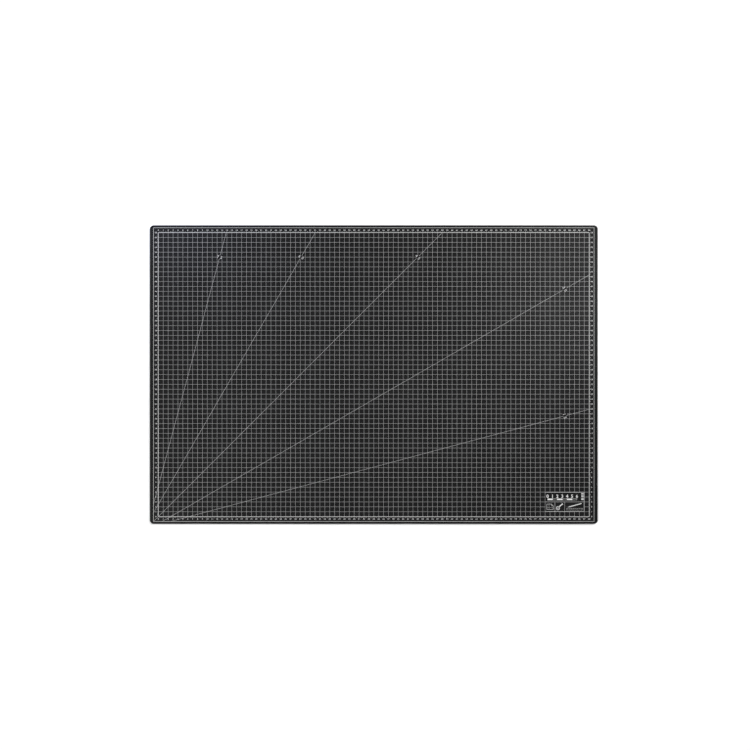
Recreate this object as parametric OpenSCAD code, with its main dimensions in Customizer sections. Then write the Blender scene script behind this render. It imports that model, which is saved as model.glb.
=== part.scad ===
// Self healing cutting mat: five laminated plies with a printed centimetre grid.
// The mat lies on z = 0, centred on the origin. +X runs along its long side,
// +Y towards the top of the print, and +Z out of the printed face.

/* [Printed field] */
// Number of grid cells along the long side
cells_x = 88; // [40:1:120]
// Number of grid cells along the short side
cells_y = 58; // [30:1:80]
// Side of one grid cell
cell = 10; // [8:0.5:15]
// Width of the ruler band around the grid
scale_band = 10; // [6:0.5:15]

/* [Sheet] */
// Bare margin between the ruler band and the short edges
margin_x = 7.5; // [5:0.5:40]
// Bare margin between the ruler band and the long edges
margin_y = 5; // [5:0.5:40]
// Radius of the four corners
corner_r = 8; // [2:0.5:12]

/* [Plies] */
// Thickness of each soft outer ply
healing_t = 0.8; // [0.4:0.05:1.5]
// Thickness of each softer inner ply
inner_t = 0.35; // [0.2:0.05:0.8]
// Thickness of the hard core ply
core_t = 0.7; // [0.3:0.05:1.5]

/* [Print] */
// Thickness of the printed ink
ink_t = 0.03; // [0.02:0.01:0.1]
// Width of the outer and inner frame lines
frame_line_w = 0.6; // [0.3:0.1:1.5]
// Width of the angle lines
angle_line_w = 0.45; // [0.3:0.05:1.5]
// Distance from the grid corner at which the 30 and 60 degree lines start
start_30 = 25; // [0:0.5:80]
// Distance from the grid corner at which the 15 and 75 degree lines start
start_15 = 62.5; // [0:0.5:120]

/* [Legend] */
// Length of the legend block, in cells
legend_cells_x = 8; // [4:1:12]
// Height of the legend block, in cells
legend_cells_y = 4; // [2:1:8]

/* [Hidden] */
$fn = 96;

grid_size = [cells_x * cell, cells_y * cell];
band_size = grid_size + 2 * [scale_band, scale_band];
mat_size = band_size + 2 * [margin_x, margin_y];

lower_inner_z = healing_t;
core_z = lower_inner_z + inner_t;
upper_inner_z = core_z + core_t;
top_healing_z = upper_inner_z + inner_t;
mat_t = top_healing_z + healing_t;

// The legend block stands one cell in from the right and the bottom of the grid
legend_size = [legend_cells_x * cell, legend_cells_y * cell];
legend_corner = [grid_size[0] / 2 - cell - legend_size[0], cell - grid_size[1] / 2];

// Each angle line: its angle, and the point on the grid's edge that it passes,
// measured from the grid's lower left corner
angle_lines = [
    [15, [start_15, 0]],
    [30, [start_30, 0]],
    [45, [0, 0]],
    [60, [0, start_30]],
    [75, [0, start_15]]
];
angle_line_reach = norm(band_size);

// Rectangle with round corners, as exact arcs
module rounded_rectangle(size, r) {
    square([size[0] - 2 * r, size[1]], center = true);
    square([size[0], size[1] - 2 * r], center = true);
    for (sx = [-1, 1], sy = [-1, 1])
        translate([sx * (size[0] / 2 - r), sy * (size[1] / 2 - r)]) circle(r);
}

// One ply over the whole outline of the mat
module ply(z, thickness) {
    translate([0, 0, z]) linear_extrude(thickness) rounded_rectangle(mat_size, corner_r);
}

// Ink on the working face, over the 2D shape that follows
module ink() {
    translate([0, 0, mat_t]) linear_extrude(ink_t) children();
}

// Line of the frames' width that follows a rectangle's edge
module frame_line(size) {
    line = [frame_line_w, frame_line_w];
    difference() {
        square(size + line, center = true);
        square(size - line, center = true);
    }
}

// The field enclosed by a frame line
module field(size) {
    square(size - [frame_line_w, frame_line_w], center = true);
}

// The angle lines, from the outer frame at the lower left to the inner frame
module angle_strips() {
    intersection() {
        translate(-grid_size / 2) for (line = angle_lines)
            translate(line[1]) rotate(line[0])
                translate([-angle_line_reach, -angle_line_w / 2])
                    square([2 * angle_line_reach, angle_line_w]);
        union() {
            field(grid_size);
            lower_left_band();
        }
    }
}

// The part of the ruler band that lies left of the grid or below it
module lower_left_band() {
    difference() {
        translate(-(band_size - [frame_line_w, frame_line_w]) / 2)
            square((grid_size + band_size) / 2 - [frame_line_w, frame_line_w]);
        square(grid_size + [frame_line_w, frame_line_w], center = true);
    }
}

module legend_area() {
    translate(legend_corner) square(legend_size);
}

module bottom_healing_layer() {
    color([0.13, 0.13, 0.135]) ply(0, healing_t);
}

module lower_inner_layer() {
    color([0.20, 0.20, 0.20]) ply(lower_inner_z, inner_t);
}

module rigid_core_layer() {
    color([0.30, 0.30, 0.29]) ply(core_z, core_t);
}

module upper_inner_layer() {
    color([0.20, 0.20, 0.20]) ply(upper_inner_z, inner_t);
}

module top_healing_layer() {
    color([0.16, 0.16, 0.165]) ply(top_healing_z, healing_t);
}

module grid_print() {
    color([0.42, 0.42, 0.42]) ink() difference() {
        field(grid_size);
        angle_strips();
        legend_area();
    }
}

module scale_print() {
    color([0.55, 0.55, 0.55]) ink() difference() {
        field(band_size);
        square(grid_size + [frame_line_w, frame_line_w], center = true);
        angle_strips();
    }
}

module frame_line_print() {
    color([0.93, 0.93, 0.93]) ink() {
        frame_line(band_size);
        frame_line(grid_size);
    }
}

module angle_line_print() {
    color([0.93, 0.93, 0.93]) ink() angle_strips();
}

module legend_print() {
    color([0.75, 0.75, 0.75]) ink() legend_area();
}

bottom_healing_layer();
lower_inner_layer();
rigid_core_layer();
upper_inner_layer();
top_healing_layer();
grid_print();
scale_print();
frame_line_print();
angle_line_print();
legend_print();
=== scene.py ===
"""Looks of the self healing mat: the pressed plies, the print as real ink, and the studio."""

import math

import bmesh
import bpy
import numpy as np
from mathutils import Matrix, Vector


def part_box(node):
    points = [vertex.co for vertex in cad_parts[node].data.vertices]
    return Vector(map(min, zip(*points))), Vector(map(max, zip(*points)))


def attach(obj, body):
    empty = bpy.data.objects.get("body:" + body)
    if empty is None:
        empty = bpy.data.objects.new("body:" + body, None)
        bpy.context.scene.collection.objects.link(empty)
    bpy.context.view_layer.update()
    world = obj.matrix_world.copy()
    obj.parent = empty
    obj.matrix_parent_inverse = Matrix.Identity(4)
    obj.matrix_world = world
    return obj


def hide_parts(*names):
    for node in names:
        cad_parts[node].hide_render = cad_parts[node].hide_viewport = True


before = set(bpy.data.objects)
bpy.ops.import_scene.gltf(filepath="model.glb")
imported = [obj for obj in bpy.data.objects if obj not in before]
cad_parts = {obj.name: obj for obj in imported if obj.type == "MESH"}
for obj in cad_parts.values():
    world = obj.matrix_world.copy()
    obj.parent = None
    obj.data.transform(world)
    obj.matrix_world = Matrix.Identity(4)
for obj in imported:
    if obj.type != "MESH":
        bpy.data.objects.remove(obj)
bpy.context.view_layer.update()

# ---------------------------------------------------------------- driving sizes, in metres

MM = 0.001
# Side of one grid cell, and the number of cells along the long and the short side
CELL = 10 * MM
CELLS_X, CELLS_Y = 88, 58
# Width of the ruler band round the grid
BAND = 10 * MM
CORNER_R = 8 * MM

# Edges of the printed grid, which is centred on the origin
RIGHT, TOP = CELLS_X * CELL / 2, CELLS_Y * CELL / 2
LEFT, BOTTOM = -RIGHT, -TOP

SHEET_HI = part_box("top_healing_layer")[1]
FACE_Z = SHEET_HI.z
INK_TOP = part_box("grid_print")[1].z
# Everything is printed in a first pass, apart from the angle lines and their labels, which
# are printed over it
UNDER_INK = FACE_Z + 0.8 * (INK_TOP - FACE_Z)
OVER_INK = INK_TOP

# Widths of the printed lines
GRID_LINE_W = 0.36 * MM
INNER_FRAME_W, OUTER_FRAME_W = 0.62 * MM, 0.5 * MM
ANGLE_LINE_W = 0.42 * MM
TICK_W = 0.2 * MM

# The ruler band: lengths of the ticks, height of the numerals, and the step from digit to
# digit, in digit heights. The numerals at the sides are spaced a little wider, and their
# centres stand this far out from the grid.
MM_TICK, LONG_TICK = 1.6 * MM, 3.0 * MM
DIGIT_H = 2.6 * MM
DIGIT_STEP = 0.9
SIDE_DIGIT_STEP = 1.0
SIDE_DIGIT_X = 5.1 * MM

# The angle lines, measured from the grid's lower left corner: where the 30 and 60 degree
# lines and the 15 and 75 degree lines meet the grid's edge, and where the labels stand
START_30, START_15 = 25 * MM, 62.5 * MM
HIGH_LABEL_Y, FAR_LABEL_X = 53 * CELL, 83 * CELL
# Their labels: height, step from digit to digit in heights, half the gap in the line, and
# half the square without grid lines
LABEL_H = 5.8 * MM
LABEL_STEP = 1.2
LABEL_GAP = 3.6 * MM
LABEL_CLEAR = 5.0 * MM


# ---------------------------------------------------------------- materials

def add_node(tree, kind, inputs=None, **settings):
    """A shader node with its settings; an input is a value, or a socket to link from."""
    node = tree.nodes.new(kind)
    for key, value in settings.items():
        setattr(node, key, value)
    for key, value in (inputs or {}).items():
        if isinstance(value, bpy.types.NodeSocket):
            tree.links.new(value, node.inputs[key])
        else:
            node.inputs[key].default_value = value
    return node


def new_material(name):
    """An empty material with a Principled shader, and its object-space coordinates."""
    mat = bpy.data.materials.new(name)
    mat.use_nodes = True
    tree = mat.node_tree
    tree.nodes.clear()
    shader = add_node(tree, "ShaderNodeBsdfPrincipled")
    out = add_node(tree, "ShaderNodeOutputMaterial")
    tree.links.new(shader.outputs["BSDF"], out.inputs["Surface"])
    place = add_node(tree, "ShaderNodeTexCoord").outputs["Object"]
    return mat, tree, shader, place


def noise(tree, place, size, detail=3.0):
    """Noise whose features are about this size, in metres."""
    made = add_node(tree, "ShaderNodeTexNoise", {
        "Vector": place, "Scale": 1 / size, "Detail": detail, "Roughness": 0.55})
    return made.outputs["Fac"]


def spread(tree, value, low, high, start=0.3, end=0.7):
    """Maps a noise's middle range onto the range from low to high."""
    made = add_node(tree, "ShaderNodeMapRange", {
        "Value": value, "From Min": start, "From Max": end, "To Min": low, "To Max": high})
    return made.outputs["Result"]


def tones(tree, value, dark, light):
    """Blends two colours by a value from 0 to 1."""
    ramp = add_node(tree, "ShaderNodeValToRGB", {"Fac": value})
    ramp.color_ramp.elements[0].color = (*dark, 1)
    ramp.color_ramp.elements[1].color = (*light, 1)
    return ramp.outputs["Color"]


def pvc(name, dark, light, roughness, grain, depth):
    """Calendered PVC: cloudy tone, uneven sheen and a fine pebbled grain."""
    mat, tree, shader, place = new_material(name)
    shader.inputs["Specular IOR Level"].default_value = 0.22
    clouds = noise(tree, place, 60 * MM, detail=4)
    specks = noise(tree, place, 1.6 * MM, detail=2)
    both = add_node(tree, "ShaderNodeMath", {0: clouds, 1: specks}, operation="ADD")
    tone = spread(tree, both.outputs[0], 0, 1, start=0.75, end=1.25)
    tree.links.new(tones(tree, tone, dark, light), shader.inputs["Base Color"])
    sheen = spread(tree, noise(tree, place, 35 * MM), roughness - 0.05, roughness + 0.05)
    tree.links.new(sheen, shader.inputs["Roughness"])
    pebbles = add_node(tree, "ShaderNodeTexVoronoi", {
        "Vector": place, "Scale": 1 / grain, "Smoothness": 0.6, "Randomness": 1.0},
        feature="SMOOTH_F1")
    fine = noise(tree, place, 0.45 * grain, detail=2)
    relief = add_node(tree, "ShaderNodeMath", {
        0: pebbles.outputs["Distance"], 1: fine}, operation="ADD")
    bump = add_node(tree, "ShaderNodeBump", {
        "Strength": 0.6, "Distance": depth, "Height": relief.outputs[0]})
    tree.links.new(bump.outputs["Normal"], shader.inputs["Normal"])
    return mat


def ink(name, dull, bright):
    """Screen-printed white ink: slightly mottled cover with a soft satin surface."""
    mat, tree, shader, place = new_material(name)
    cover = noise(tree, place, 1.2 * MM, detail=3)
    tone = spread(tree, cover, 0, 1, start=0.35, end=0.6)
    tree.links.new(tones(tree, tone, dull, bright), shader.inputs["Base Color"])
    satin = spread(tree, noise(tree, place, 8 * MM), 0.42, 0.58)
    tree.links.new(satin, shader.inputs["Roughness"])
    skin = add_node(tree, "ShaderNodeBump", {
        "Strength": 0.25, "Distance": 0.02 * MM, "Height": noise(tree, place, 0.4 * MM)})
    tree.links.new(skin.outputs["Normal"], shader.inputs["Normal"])
    return mat


HEALING_PVC = pvc("healing_pvc", (0.0024, 0.0024, 0.0025), (0.0042, 0.0042, 0.0043),
                  roughness=0.42, grain=0.9 * MM, depth=0.03 * MM)
UNDERSIDE_PVC = pvc("underside_pvc", (0.0085, 0.0085, 0.0088), (0.013, 0.013, 0.0133),
                    roughness=0.6, grain=1.6 * MM, depth=0.12 * MM)
INNER_PVC = pvc("inner_pvc", (0.03, 0.03, 0.031), (0.042, 0.042, 0.043),
                roughness=0.6, grain=0.5 * MM, depth=0.04 * MM)
CORE_PVC = pvc("core_pvc", (0.05, 0.05, 0.05), (0.07, 0.07, 0.069),
               roughness=0.5, grain=0.4 * MM, depth=0.03 * MM)
WHITE_INK = ink("white_ink", (0.54, 0.54, 0.54), (0.64, 0.64, 0.635))
LINE_INK = ink("line_ink", (0.355, 0.355, 0.355), (0.44, 0.44, 0.44))


# ---------------------------------------------------------------- mesh helpers

def add_piece(name, verts, faces, mat, nodes, smooth=False):
    """A mesh object that rides on the mat and stands for the given CAD nodes."""
    mesh = bpy.data.meshes.new(name)
    mesh.from_pydata([tuple(v) for v in verts], [], [tuple(f) for f in faces])
    mesh.materials.append(mat)
    if smooth:
        mesh.shade_smooth()
    mesh.update()
    piece = bpy.data.objects.new(name, mesh)
    bpy.context.scene.collection.objects.link(piece)
    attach(piece, "root")
    if nodes:
        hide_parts(*nodes)
    return piece


class Print:
    """Collects flat closed shapes of ink, all from the sheet's face up to one height."""

    def __init__(self, top):
        self.top = top
        self.verts, self.faces = [], []

    def add(self, verts, faces):
        first = len(self.verts)
        self.verts.extend(verts)
        self.faces.extend([[first + i for i in face] for face in faces])

    def prism(self, outline):
        """A filled outline, given anticlockwise."""
        n = len(outline)
        low = [(x, y, FACE_Z) for x, y in outline]
        high = [(x, y, self.top) for x, y in outline]
        walls = [(i, (i + 1) % n, n + (i + 1) % n, n + i) for i in range(n)]
        caps = [tuple(range(n - 1, -1, -1)), tuple(range(n, 2 * n))]
        self.add(low + high, walls + caps)

    def rect(self, x0, y0, x1, y1):
        """A filled rectangle between two opposite corners."""
        self.prism([(x0, y0), (x1, y0), (x1, y1), (x0, y1)])

    def ring(self, inner, outer):
        """The band between two outlines with the same number of points."""
        n = len(inner)
        verts = [(x, y, z) for z in (FACE_Z, self.top) for line in (inner, outer) for x, y in line]
        faces = []
        for i in range(n):
            j = (i + 1) % n
            faces.append((i, n + i, n + j, j)[::-1])
            faces.append((2 * n + i, 3 * n + i, 3 * n + j, 2 * n + j))
            faces.append((n + i, n + j, 3 * n + j, 3 * n + i))
            faces.append((j, i, 2 * n + i, 2 * n + j))
        self.add(verts, faces)

    def stroke(self, path, width):
        """An open line of this width along a path, with mitred corners."""
        left, right = offset_path(path, width / 2, closed=False)
        self.prism(list(right) + list(left)[::-1])

    def loop(self, path, width):
        """A closed line of this width along an anticlockwise path."""
        left, right = offset_path(path, width / 2, closed=True)
        self.ring(left, right)

    def piece(self, name, mat, nodes=()):
        """Makes one piece of all the shapes collected."""
        return add_piece(name, self.verts, self.faces, mat, nodes)


def offset_path(path, away, closed):
    """The path shifted to its left and to its right, with mitred corners."""
    points = np.array(path, float)
    steps = np.roll(points, -1, axis=0) - points
    if not closed:
        steps[-1] = steps[-2]
    ahead = steps / np.linalg.norm(steps, axis=1)[:, None]
    behind = np.roll(ahead, 1, axis=0)
    if not closed:
        behind[0] = ahead[0]
    normals = np.c_[-ahead[:, 1], ahead[:, 0]] + np.c_[-behind[:, 1], behind[:, 0]]
    mitre = normals / (np.einsum("ij,ij->i", normals, normals) / 2)[:, None]
    return points + away * mitre, points - away * mitre


def arc(centre, radius, start, end, steps):
    """Points along an arc; the angles are in degrees."""
    angles = np.radians(np.linspace(start, end, steps))
    return [(centre[0] + radius * math.cos(a), centre[1] + radius * math.sin(a)) for a in angles]


def circle(centre, radius, steps):
    """Points round a circle, without the last one that would meet the first."""
    return arc(centre, radius, 0, 360 - 360 / steps, steps)


def slab_from_mask(xs, ys, solid, z0, z1):
    """A closed slab over the true cells of a tensor grid, with walls only at its edges."""
    nx, ny = len(xs), len(ys)
    cells_i, cells_j = np.nonzero(solid)

    def corner(i, j, level):
        return (level * nx + i) * ny + j

    def quads(i, j, level, order):
        corners = [corner(i, j, level), corner(i + 1, j, level),
                   corner(i + 1, j + 1, level), corner(i, j + 1, level)]
        return np.stack([corners[k] for k in order], axis=1)

    faces = [quads(cells_i, cells_j, 1, (0, 1, 2, 3)), quads(cells_i, cells_j, 0, (3, 2, 1, 0))]
    padded = np.pad(solid, 1)
    # Each side of a cell: the step to the cell beside it, and the wall's two corners
    for di, dj, a, b in ((0, -1, (0, 0), (1, 0)), (1, 0, (1, 0), (1, 1)),
                         (0, 1, (1, 1), (0, 1)), (-1, 0, (0, 1), (0, 0))):
        beside = padded[1 + di:1 + di + solid.shape[0], 1 + dj:1 + dj + solid.shape[1]]
        i, j = np.nonzero(solid & ~beside)
        faces.append(np.stack([corner(i + a[0], j + a[1], 0), corner(i + b[0], j + b[1], 0),
                               corner(i + b[0], j + b[1], 1), corner(i + a[0], j + a[1], 1)],
                              axis=1))
    faces = np.concatenate(faces)
    used, faces = np.unique(faces, return_inverse=True)
    level, rest = np.divmod(used, nx * ny)
    i, j = np.divmod(rest, ny)
    verts = np.stack([np.array(xs)[i], np.array(ys)[j], np.where(level == 1, z1, z0)], axis=1)
    return verts.tolist(), faces.reshape(-1, 4).tolist()


# ---------------------------------------------------------------- plies

def sheet_outline(inset):
    """The mat's round-cornered outline, moved inwards by inset."""
    corner_points = 14
    x, y = SHEET_HI.x - CORNER_R, SHEET_HI.y - CORNER_R
    points = []
    for centre, start in (((x, y), 0), ((-x, y), 90), ((-x, -y), 180), ((x, -y), 270)):
        points += arc(centre, CORNER_R - inset, start, start + 90, corner_points)
    return points


def ply(node, profile, mat):
    """One ply, lofted through (inset, height) steps from its lower to its upper face."""
    rings = [[(x, y, z) for x, y in sheet_outline(inset)] for inset, z in profile]
    n = len(rings[0])
    verts = [v for ring in rings for v in ring]
    faces = [tuple(range(n - 1, -1, -1))]
    for k in range(len(rings) - 1):
        a, b = k * n, (k + 1) * n
        faces += [(a + i, a + (i + 1) % n, b + (i + 1) % n, b + i) for i in range(n)]
    last = (len(rings) - 1) * n
    faces.append(tuple(range(last, last + n)))
    return add_piece(node + "_sheet", verts, faces, mat, [node], smooth=True)


def edge_profile(node, lower, upper, set_back=0.0):
    """Steps up a ply's edge: a rounded arris below and above, and a straight wall between.

    lower and upper are the radii of the arrises, and set_back is how far the wall stands in.
    """
    z0, z1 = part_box(node)[0].z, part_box(node)[1].z
    # A narrow ring of each face ends the smooth shading of the arris beside it
    ring = 1.5 * MM
    below = [(set_back + lower * (1 - math.sin(a)), z0 + lower * (1 - math.cos(a)))
             for a in np.radians([0, 30, 60, 90])]
    above = [(set_back + upper * (1 - math.cos(a)), z1 - upper * (1 - math.sin(a)))
             for a in np.radians([0, 22, 45, 68, 90])]
    return [(set_back + lower + ring, z0)] + below + above + [(set_back + upper + ring, z1)]


def make_plies():
    """The five plies; the inner three stand in a little, so that the edge shows its layers."""
    node = "bottom_healing_layer"
    profile = edge_profile(node, lower=0.25 * MM, upper=0.05 * MM)
    ply(node, profile, UNDERSIDE_PVC)
    for node in ("lower_inner_layer", "upper_inner_layer"):
        profile = edge_profile(node, lower=0.04 * MM, upper=0.04 * MM, set_back=0.06 * MM)
        ply(node, profile, INNER_PVC)
    node = "rigid_core_layer"
    profile = edge_profile(node, lower=0.05 * MM, upper=0.05 * MM, set_back=0.02 * MM)
    ply(node, profile, CORE_PVC)
    node = "top_healing_layer"
    profile = edge_profile(node, lower=0.05 * MM, upper=0.3 * MM)
    ply(node, profile, HEALING_PVC)


# ---------------------------------------------------------------- angle lines and labels

def angle_lines():
    """Angle in degrees, a point the line passes, and its label's point, all from the centre."""
    # The two flattest lines have their labels in a column, and the others in a row
    rows = ((15, (START_15, 0), "column"), (30, (START_30, 0), "column"), (45, (0, 0), "row"),
            (60, (0, START_30), "row"), (75, (0, START_15), "row"))
    for angle, (x, y), place in rows:
        slope = math.tan(math.radians(angle))
        if place == "column":
            label = (FAR_LABEL_X, y + slope * (FAR_LABEL_X - x))
        else:
            label = (x + (HIGH_LABEL_Y - y) / slope, HIGH_LABEL_Y)
        yield angle, (LEFT + x, BOTTOM + y), (LEFT + label[0], BOTTOM + label[1])


def reach(point, direction, lo, hi):
    """How far a line runs from a point before it leaves a rectangle."""
    ways = []
    for k in (0, 1):
        edge = hi[k] if direction[k] > 0 else lo[k]
        ways.append((edge - point[k]) / direction[k])
    return min(ways)


def make_angle_lines():
    """The lines from the outer frame at the lower left to the inner frame, and their labels."""
    lines, labels = Print(OVER_INK), Print(OVER_INK)
    to_outer, to_inner = BAND - OUTER_FRAME_W / 2, INNER_FRAME_W / 2
    lo = (LEFT - to_outer, BOTTOM - to_outer)
    hi = (RIGHT - to_inner, TOP - to_inner)
    for angle, point, label in angle_lines():
        a = math.radians(angle)
        along = np.array([math.cos(a), math.sin(a)])
        start = np.array(point) - along * reach(point, -along, lo, hi)
        end = np.array(point) + along * reach(point, along, lo, hi)
        label = np.array(label)
        lines.stroke([start, label - along * LABEL_GAP], ANGLE_LINE_W)
        lines.stroke([label + along * LABEL_GAP, end], ANGLE_LINE_W)
        write(labels, f"{angle}", label, LABEL_H, angle - 90, LABEL_STEP)
    lines.piece("angle_line_strips", LINE_INK, ["angle_line_print"])
    labels.piece("angle_labels", LINE_INK)


# ---------------------------------------------------------------- numerals

def font_curve(char):
    """One character in Blender's own font, drawn slightly bold."""
    text = bpy.data.curves.new("glyph", "FONT")
    text.body = char
    text.resolution_u = 3
    text.offset = 0.02
    return text


def four_curve():
    """The digit 4 from points given here, because the outlines of the font's own 4 cross each
    other.

    Its heights differ a little from left to right, because corners that lie in line would
    leave the filled face with a triangle without area.
    """
    outside = [(0.4, 0), (0.58, 0), (0.58, 0.28), (0.69, 0.28), (0.69, 0.44), (0.58, 0.44),
               (0.58, 1), (0.44, 1), (0, 0.46), (0, 0.29), (0.4, 0.29)]
    counter = [(0.4, 0.45), (0.19, 0.45), (0.4, 0.72)]
    curve = bpy.data.curves.new("glyph", "CURVE")
    curve.dimensions = "2D"
    curve.fill_mode = "BOTH"
    for outline in (outside, counter):
        spline = curve.splines.new("POLY")
        spline.points.add(len(outline) - 1)
        for point, (x, y) in zip(spline.points, outline):
            point.co = (x, y, 0, 1)
        spline.use_cyclic_u = True
    return curve


def make_glyph(char):
    """A closed mesh of one character, a unit high, centred on x and y, from z 0 to 1."""
    weld = 1e-4
    curve = four_curve() if char == "4" else font_curve(char)
    curve.extrude = 0.5
    holder = bpy.data.objects.new("glyph", curve)
    mesh = bpy.data.meshes.new_from_object(holder)
    shape = bmesh.new()
    shape.from_mesh(mesh)
    bmesh.ops.remove_doubles(shape, verts=shape.verts, dist=weld)
    bmesh.ops.dissolve_degenerate(shape, dist=weld, edges=shape.edges)
    bmesh.ops.recalc_face_normals(shape, faces=shape.faces)
    verts = np.array([v.co for v in shape.verts])
    faces = [[v.index for v in face.verts] for face in shape.faces]
    shape.free()
    bpy.data.objects.remove(holder)
    bpy.data.curves.remove(curve)
    bpy.data.meshes.remove(mesh)
    low, high = verts.min(axis=0), verts.max(axis=0)
    height = high[1] - low[1]
    verts = verts - [(low[0] + high[0]) / 2, (low[1] + high[1]) / 2, low[2]]
    return verts / [height, height, high[2] - low[2]], faces


GLYPHS = {char: make_glyph(char) for char in "0123456789"}


def write(layer, word, centre, height, angle=0.0, step=DIGIT_STEP):
    """Prints a number centred on a point; angle turns it, in degrees."""
    a = math.radians(angle)
    right = np.array([math.cos(a), math.sin(a)])
    up = np.array([-right[1], right[0]])
    for k, char in enumerate(word):
        shape, faces = GLYPHS[char]
        shift = (k - (len(word) - 1) / 2) * step
        flat = (shape[:, :1] + shift) * right + shape[:, 1:2] * up
        flat = np.array(centre) + height * flat
        z = FACE_Z + shape[:, 2:] * (layer.top - FACE_Z)
        layer.add(np.hstack([flat, z]).tolist(), faces)


def make_scale():
    """Ticks and numerals round the grid, in the ruler band."""
    ticks, numerals = Print(UNDER_INK), Print(UNDER_INK)
    foot = INNER_FRAME_W / 2
    for cells, low, across in ((CELLS_X, LEFT, TOP), (CELLS_Y, BOTTOM, RIGHT)):
        for step in range(1, round(cells * CELL / MM)):
            length = LONG_TICK if step % 5 == 0 else MM_TICK
            left, right = low + step * MM - TICK_W / 2, low + step * MM + TICK_W / 2
            for side in (-1, 1):
                near, far = sorted((side * (across + foot), side * (across + length)))
                if across == TOP:
                    ticks.rect(left, near, right, far)
                else:
                    ticks.rect(near, left, far, right)
    for cell in range(CELLS_X + 1):
        for y in (BOTTOM - BAND / 2, TOP + BAND / 2):
            write(numerals, str(cell), (LEFT + cell * CELL, y), DIGIT_H)
    for cell in range(CELLS_Y + 1):
        for x in (LEFT - SIDE_DIGIT_X, RIGHT + SIDE_DIGIT_X):
            write(numerals, str(cell), (x, BOTTOM + cell * CELL), DIGIT_H, step=SIDE_DIGIT_STEP)
    ticks.piece("ruler_ticks", WHITE_INK, ["scale_print"])
    numerals.piece("ruler_numerals", WHITE_INK)


# ---------------------------------------------------------------- grid and frame lines

def line_edges(low, cells, extra):
    """The grid's cuts along one axis, the middles of its spans, and which spans are lines."""
    lines = low + CELL * np.arange(1, cells)
    inner = INNER_FRAME_W / 2
    cuts = np.concatenate([
        [low + inner, low + cells * CELL - inner],
        lines - GRID_LINE_W / 2, lines + GRID_LINE_W / 2, extra])
    # Rounded, so that two cuts at one place count once
    cuts = np.unique(np.round(cuts, 7))
    middles = (cuts[:-1] + cuts[1:]) / 2
    number = np.round((middles - low) / CELL)
    on_line = np.abs(middles - low - CELL * number) < GRID_LINE_W / 2
    return cuts, middles, on_line & (number > 0) & (number < cells)


def make_grid():
    """The grid lines as one slab, left out round the angle labels and under the legend."""
    labels = [label for _, _, label in angle_lines()]
    legend_lo, legend_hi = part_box("legend_print")
    edge = GRID_LINE_W / 2
    clear = [(x - LABEL_CLEAR, y - LABEL_CLEAR, x + LABEL_CLEAR, y + LABEL_CLEAR)
             for x, y in labels]
    clear.append((legend_lo.x + edge, legend_lo.y + edge, legend_hi.x - edge, legend_hi.y - edge))
    xs, mid_x, line_x = line_edges(LEFT, CELLS_X, [v for box in clear for v in (box[0], box[2])])
    ys, mid_y, line_y = line_edges(BOTTOM, CELLS_Y, [v for box in clear for v in (box[1], box[3])])
    solid = line_x[:, None] | line_y[None, :]
    for x0, y0, x1, y1 in clear:
        inside_x = (mid_x > x0) & (mid_x < x1)
        inside_y = (mid_y > y0) & (mid_y < y1)
        solid &= ~(inside_x[:, None] & inside_y[None, :])
    verts, faces = slab_from_mask(xs, ys, solid, FACE_Z, UNDER_INK)
    add_piece("grid_lines", verts, faces, LINE_INK, ["grid_print"])


def rectangle(half_x, half_y):
    """An anticlockwise rectangle, centred on the origin."""
    return [(half_x, half_y), (-half_x, half_y), (-half_x, -half_y), (half_x, -half_y)]


def make_frame_lines():
    """The line round the grid, and the line round the ruler band."""
    lines = Print(UNDER_INK)
    lines.loop(rectangle(RIGHT, TOP), INNER_FRAME_W)
    lines.loop(rectangle(RIGHT + BAND, TOP + BAND), OUTER_FRAME_W)
    lines.piece("frame_lines", WHITE_INK, ["frame_line_print"])


# ---------------------------------------------------------------- legend

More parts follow.
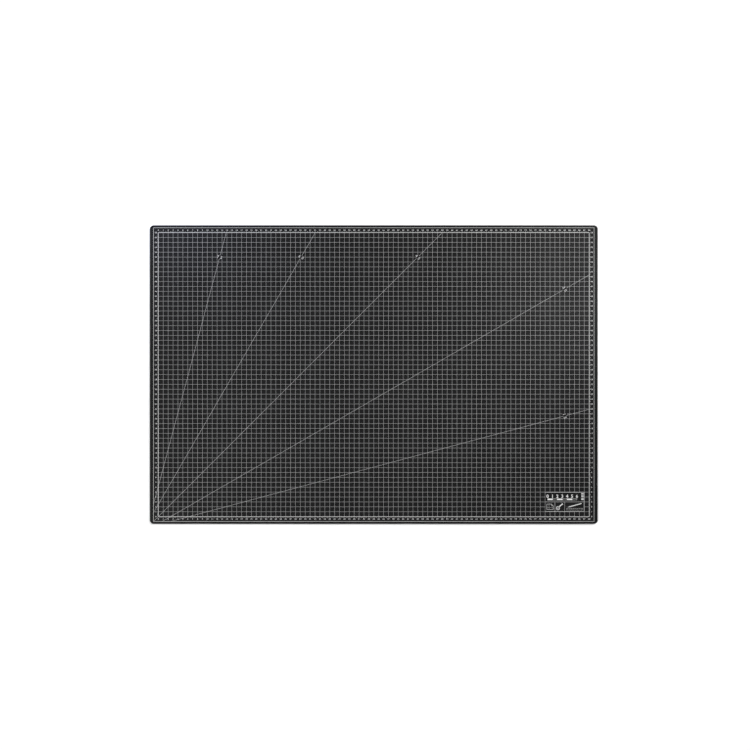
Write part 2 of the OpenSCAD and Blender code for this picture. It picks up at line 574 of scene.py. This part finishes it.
def make_legend():
    """A generic legend: a scale bar, a stack of plies, and three pictograms.

    Its places are in millimetres from the block's lower left corner.
    """
    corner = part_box("legend_print")[0]
    layer = Print(UNDER_INK)

    def at(points):
        return [(corner.x + x * MM, corner.y + y * MM) for x, y in points]

    def box(x0, y0, x1, y1):
        layer.rect(corner.x + x0 * MM, corner.y + y0 * MM, corner.x + x1 * MM, corner.y + y1 * MM)

    # border on three sides, and dividers
    layer.stroke(at([(0, 39.6), (79.6, 39.6), (79.6, 0.4), (0, 0.4)]), 0.4 * MM)
    box(0.2, 19.8, 79.4, 20.2)
    box(19.8, 0.6, 20.2, 19.8)
    box(39.85, 0.6, 40.15, 19.8)
    # centimetre scale: full and empty blocks in turn under their numerals
    for x in (5, 25, 45):
        box(x, 23.6, x + 10, 26.8)
    for x in (15.3, 35.3, 55.3):
        layer.loop(at([(x, 23.8), (x + 9.4, 23.8), (x + 9.4, 26.6), (x, 26.6)]), 0.4 * MM)
    for tick in range(7):
        write(layer, str(tick), at([(5 + 10 * tick, 31.6)])[0], 6.8 * MM)
    # stack of five plies
    for k, thickness in enumerate((2.1, 1.1, 1.7, 1.1, 2.1)):
        y = 24 + 2.85 * k
        box(74, y, 78.6, y + thickness)
    # gridded sheet with a folded corner
    layer.loop(at([(3.5, 4.5), (16.5, 4.5), (16.5, 12), (12.8, 15.6), (3.5, 15.6)]), 0.5 * MM)
    layer.stroke(at([(12.8, 15.3), (12.8, 12), (16.2, 12)]), 0.4 * MM)
    box(3.8, 8, 16.2, 8.25)
    box(8, 4.8, 8.25, 15.3)
    # rotary cutter
    layer.loop(at(circle((26.2, 7.2), 3.4, 28)), 1.0 * MM)
    layer.prism(at(circle((26.2, 7.2), 1.2, 16)))
    layer.stroke(at([(29.4, 10.4), (31.4, 12.6), (36.2, 16.2)]), 2.2 * MM)
    # craft knife over a ruler
    layer.loop(at([(76.5, 6.8), (44, 6.8), (44, 3.4), (76.5, 3.4)]), 0.25 * MM)
    for x in range(46, 76, 4):
        box(x, 5.2, x + 0.3, 6.5)
    layer.prism(at([(45.6, 9), (52.3, 9.6), (51.7, 11.8)]))
    layer.stroke(at([(52.6, 10.8), (74.6, 16.8)]), 1.7 * MM)
    layer.piece("legend_marks", WHITE_INK, ["legend_print"])


# ---------------------------------------------------------------- studio

WHITE = (1, 1, 1)
COOL = (0.22, 0.34, 1.0)


def make_floor():
    """A round pale floor whose rim sweeps up into a low wall, far out round the mat."""
    flat_r, sweep_r, wall_h, around = 10.0, 2.0, 3.0, 96
    below_mat = 0.2 * MM
    mat, tree, shader, place = new_material("studio_floor")
    tone = spread(tree, noise(tree, place, 0.8), 0, 1)
    paper = tones(tree, tone, (0.96, 0.96, 0.96), (0.98, 0.98, 0.98))
    tree.links.new(paper, shader.inputs["Base Color"])
    shader.inputs["Roughness"].default_value = 0.9
    shader.inputs["Specular IOR Level"].default_value = 0.1
    sweep = [(flat_r + sweep_r * math.sin(a), sweep_r * (1 - math.cos(a)))
             for a in np.radians(range(0, 91, 10))]
    profile = [(0.9 * flat_r, 0)] + sweep + [(flat_r + sweep_r, wall_h)]
    verts = [(x, y, z) for r, z in profile for x, y in circle((0, 0), r, around)]
    faces = [tuple(range(around))]
    for low in range(0, len(verts) - around, around):
        for i in range(around):
            j = (i + 1) % around
            faces.append((low + i, low + around + i, low + around + j, low + j))
    mesh = bpy.data.meshes.new("floor")
    mesh.from_pydata(verts, [], faces)
    mesh.materials.append(mat)
    mesh.shade_smooth()
    floor = bpy.data.objects.new("floor", mesh)
    bpy.context.scene.collection.objects.link(floor)
    floor.location.z = -below_mat


def add_light(kind, name, location, energy, tint=WHITE, **settings):
    """A light at a place, turned to face the mat's centre."""
    data = bpy.data.lights.new(name, kind)
    data.energy = energy
    data.color = tint
    for key, value in settings.items():
        setattr(data, key, value)
    light = bpy.data.objects.new(name, data)
    bpy.context.scene.collection.objects.link(light)
    light.location = location
    light.rotation_mode = "QUATERNION"
    light.rotation_quaternion = light.location.to_track_quat("Z", "Y")
    return light


def make_studio():
    make_floor()
    world = bpy.data.worlds.new("studio")
    bpy.context.scene.world = world
    world.use_nodes = True
    sky = world.node_tree.nodes["Background"]
    sky.inputs["Color"].default_value = (1, 1, 1, 1)
    sky.inputs["Strength"].default_value = 0.17
    add_light("SUN", "key", (2.2, 1.9, 2.1), 2.79, angle=math.radians(30))
    add_light("SUN", "fill", (-2.6, -0.9, 2.0), 1.66, angle=math.radians(45))
    # Weak lights close to the mat, hidden from the camera: they make the sheet's brightness
    # change slowly from place to place, and the cool one adds a faint blue at the upper left
    for name, place, power, size, tint in (
            ("near_softbox", (0.62, 0.33, 0.5), 0.9, 0.5, WHITE),
            ("right_window", (0.42, 0.17, 0.36), 0.45, 0.32, WHITE),
            ("overhead_softbox", (-0.25, -0.02, 1.0), 0.75, 1.1, WHITE),
            ("left_softbox", (-0.62, 0.42, 0.5), 0.95, 0.4, WHITE),
            ("cool_window", (-0.36, 0.36, 0.2), 0.175, 0.32, COOL),
            ("far_softbox", (-0.6, -0.48, 0.4), 0.62, 0.4, WHITE)):
        light = add_light("AREA", name, place, power, tint, size=size)
        light.visible_camera = False
    bpy.context.scene.view_settings.view_transform = "Standard"


def make_camera():
    """Straight above the mat, whose long side fills six tenths of the picture's width."""
    seen_width = 1.532
    aim_x, aim_y = 2.5 * MM, -0.8 * MM
    data = bpy.data.cameras.new("camera")
    data.lens, data.sensor_width = 100, 36
    camera = bpy.data.objects.new("camera", data)
    bpy.context.scene.collection.objects.link(camera)
    camera.location = (aim_x, aim_y, FACE_Z + seen_width * data.lens / data.sensor_width)
    bpy.context.scene.camera = camera


make_camera()
make_plies()
make_grid()
make_frame_lines()
make_scale()
make_angle_lines()
make_legend()
make_studio()
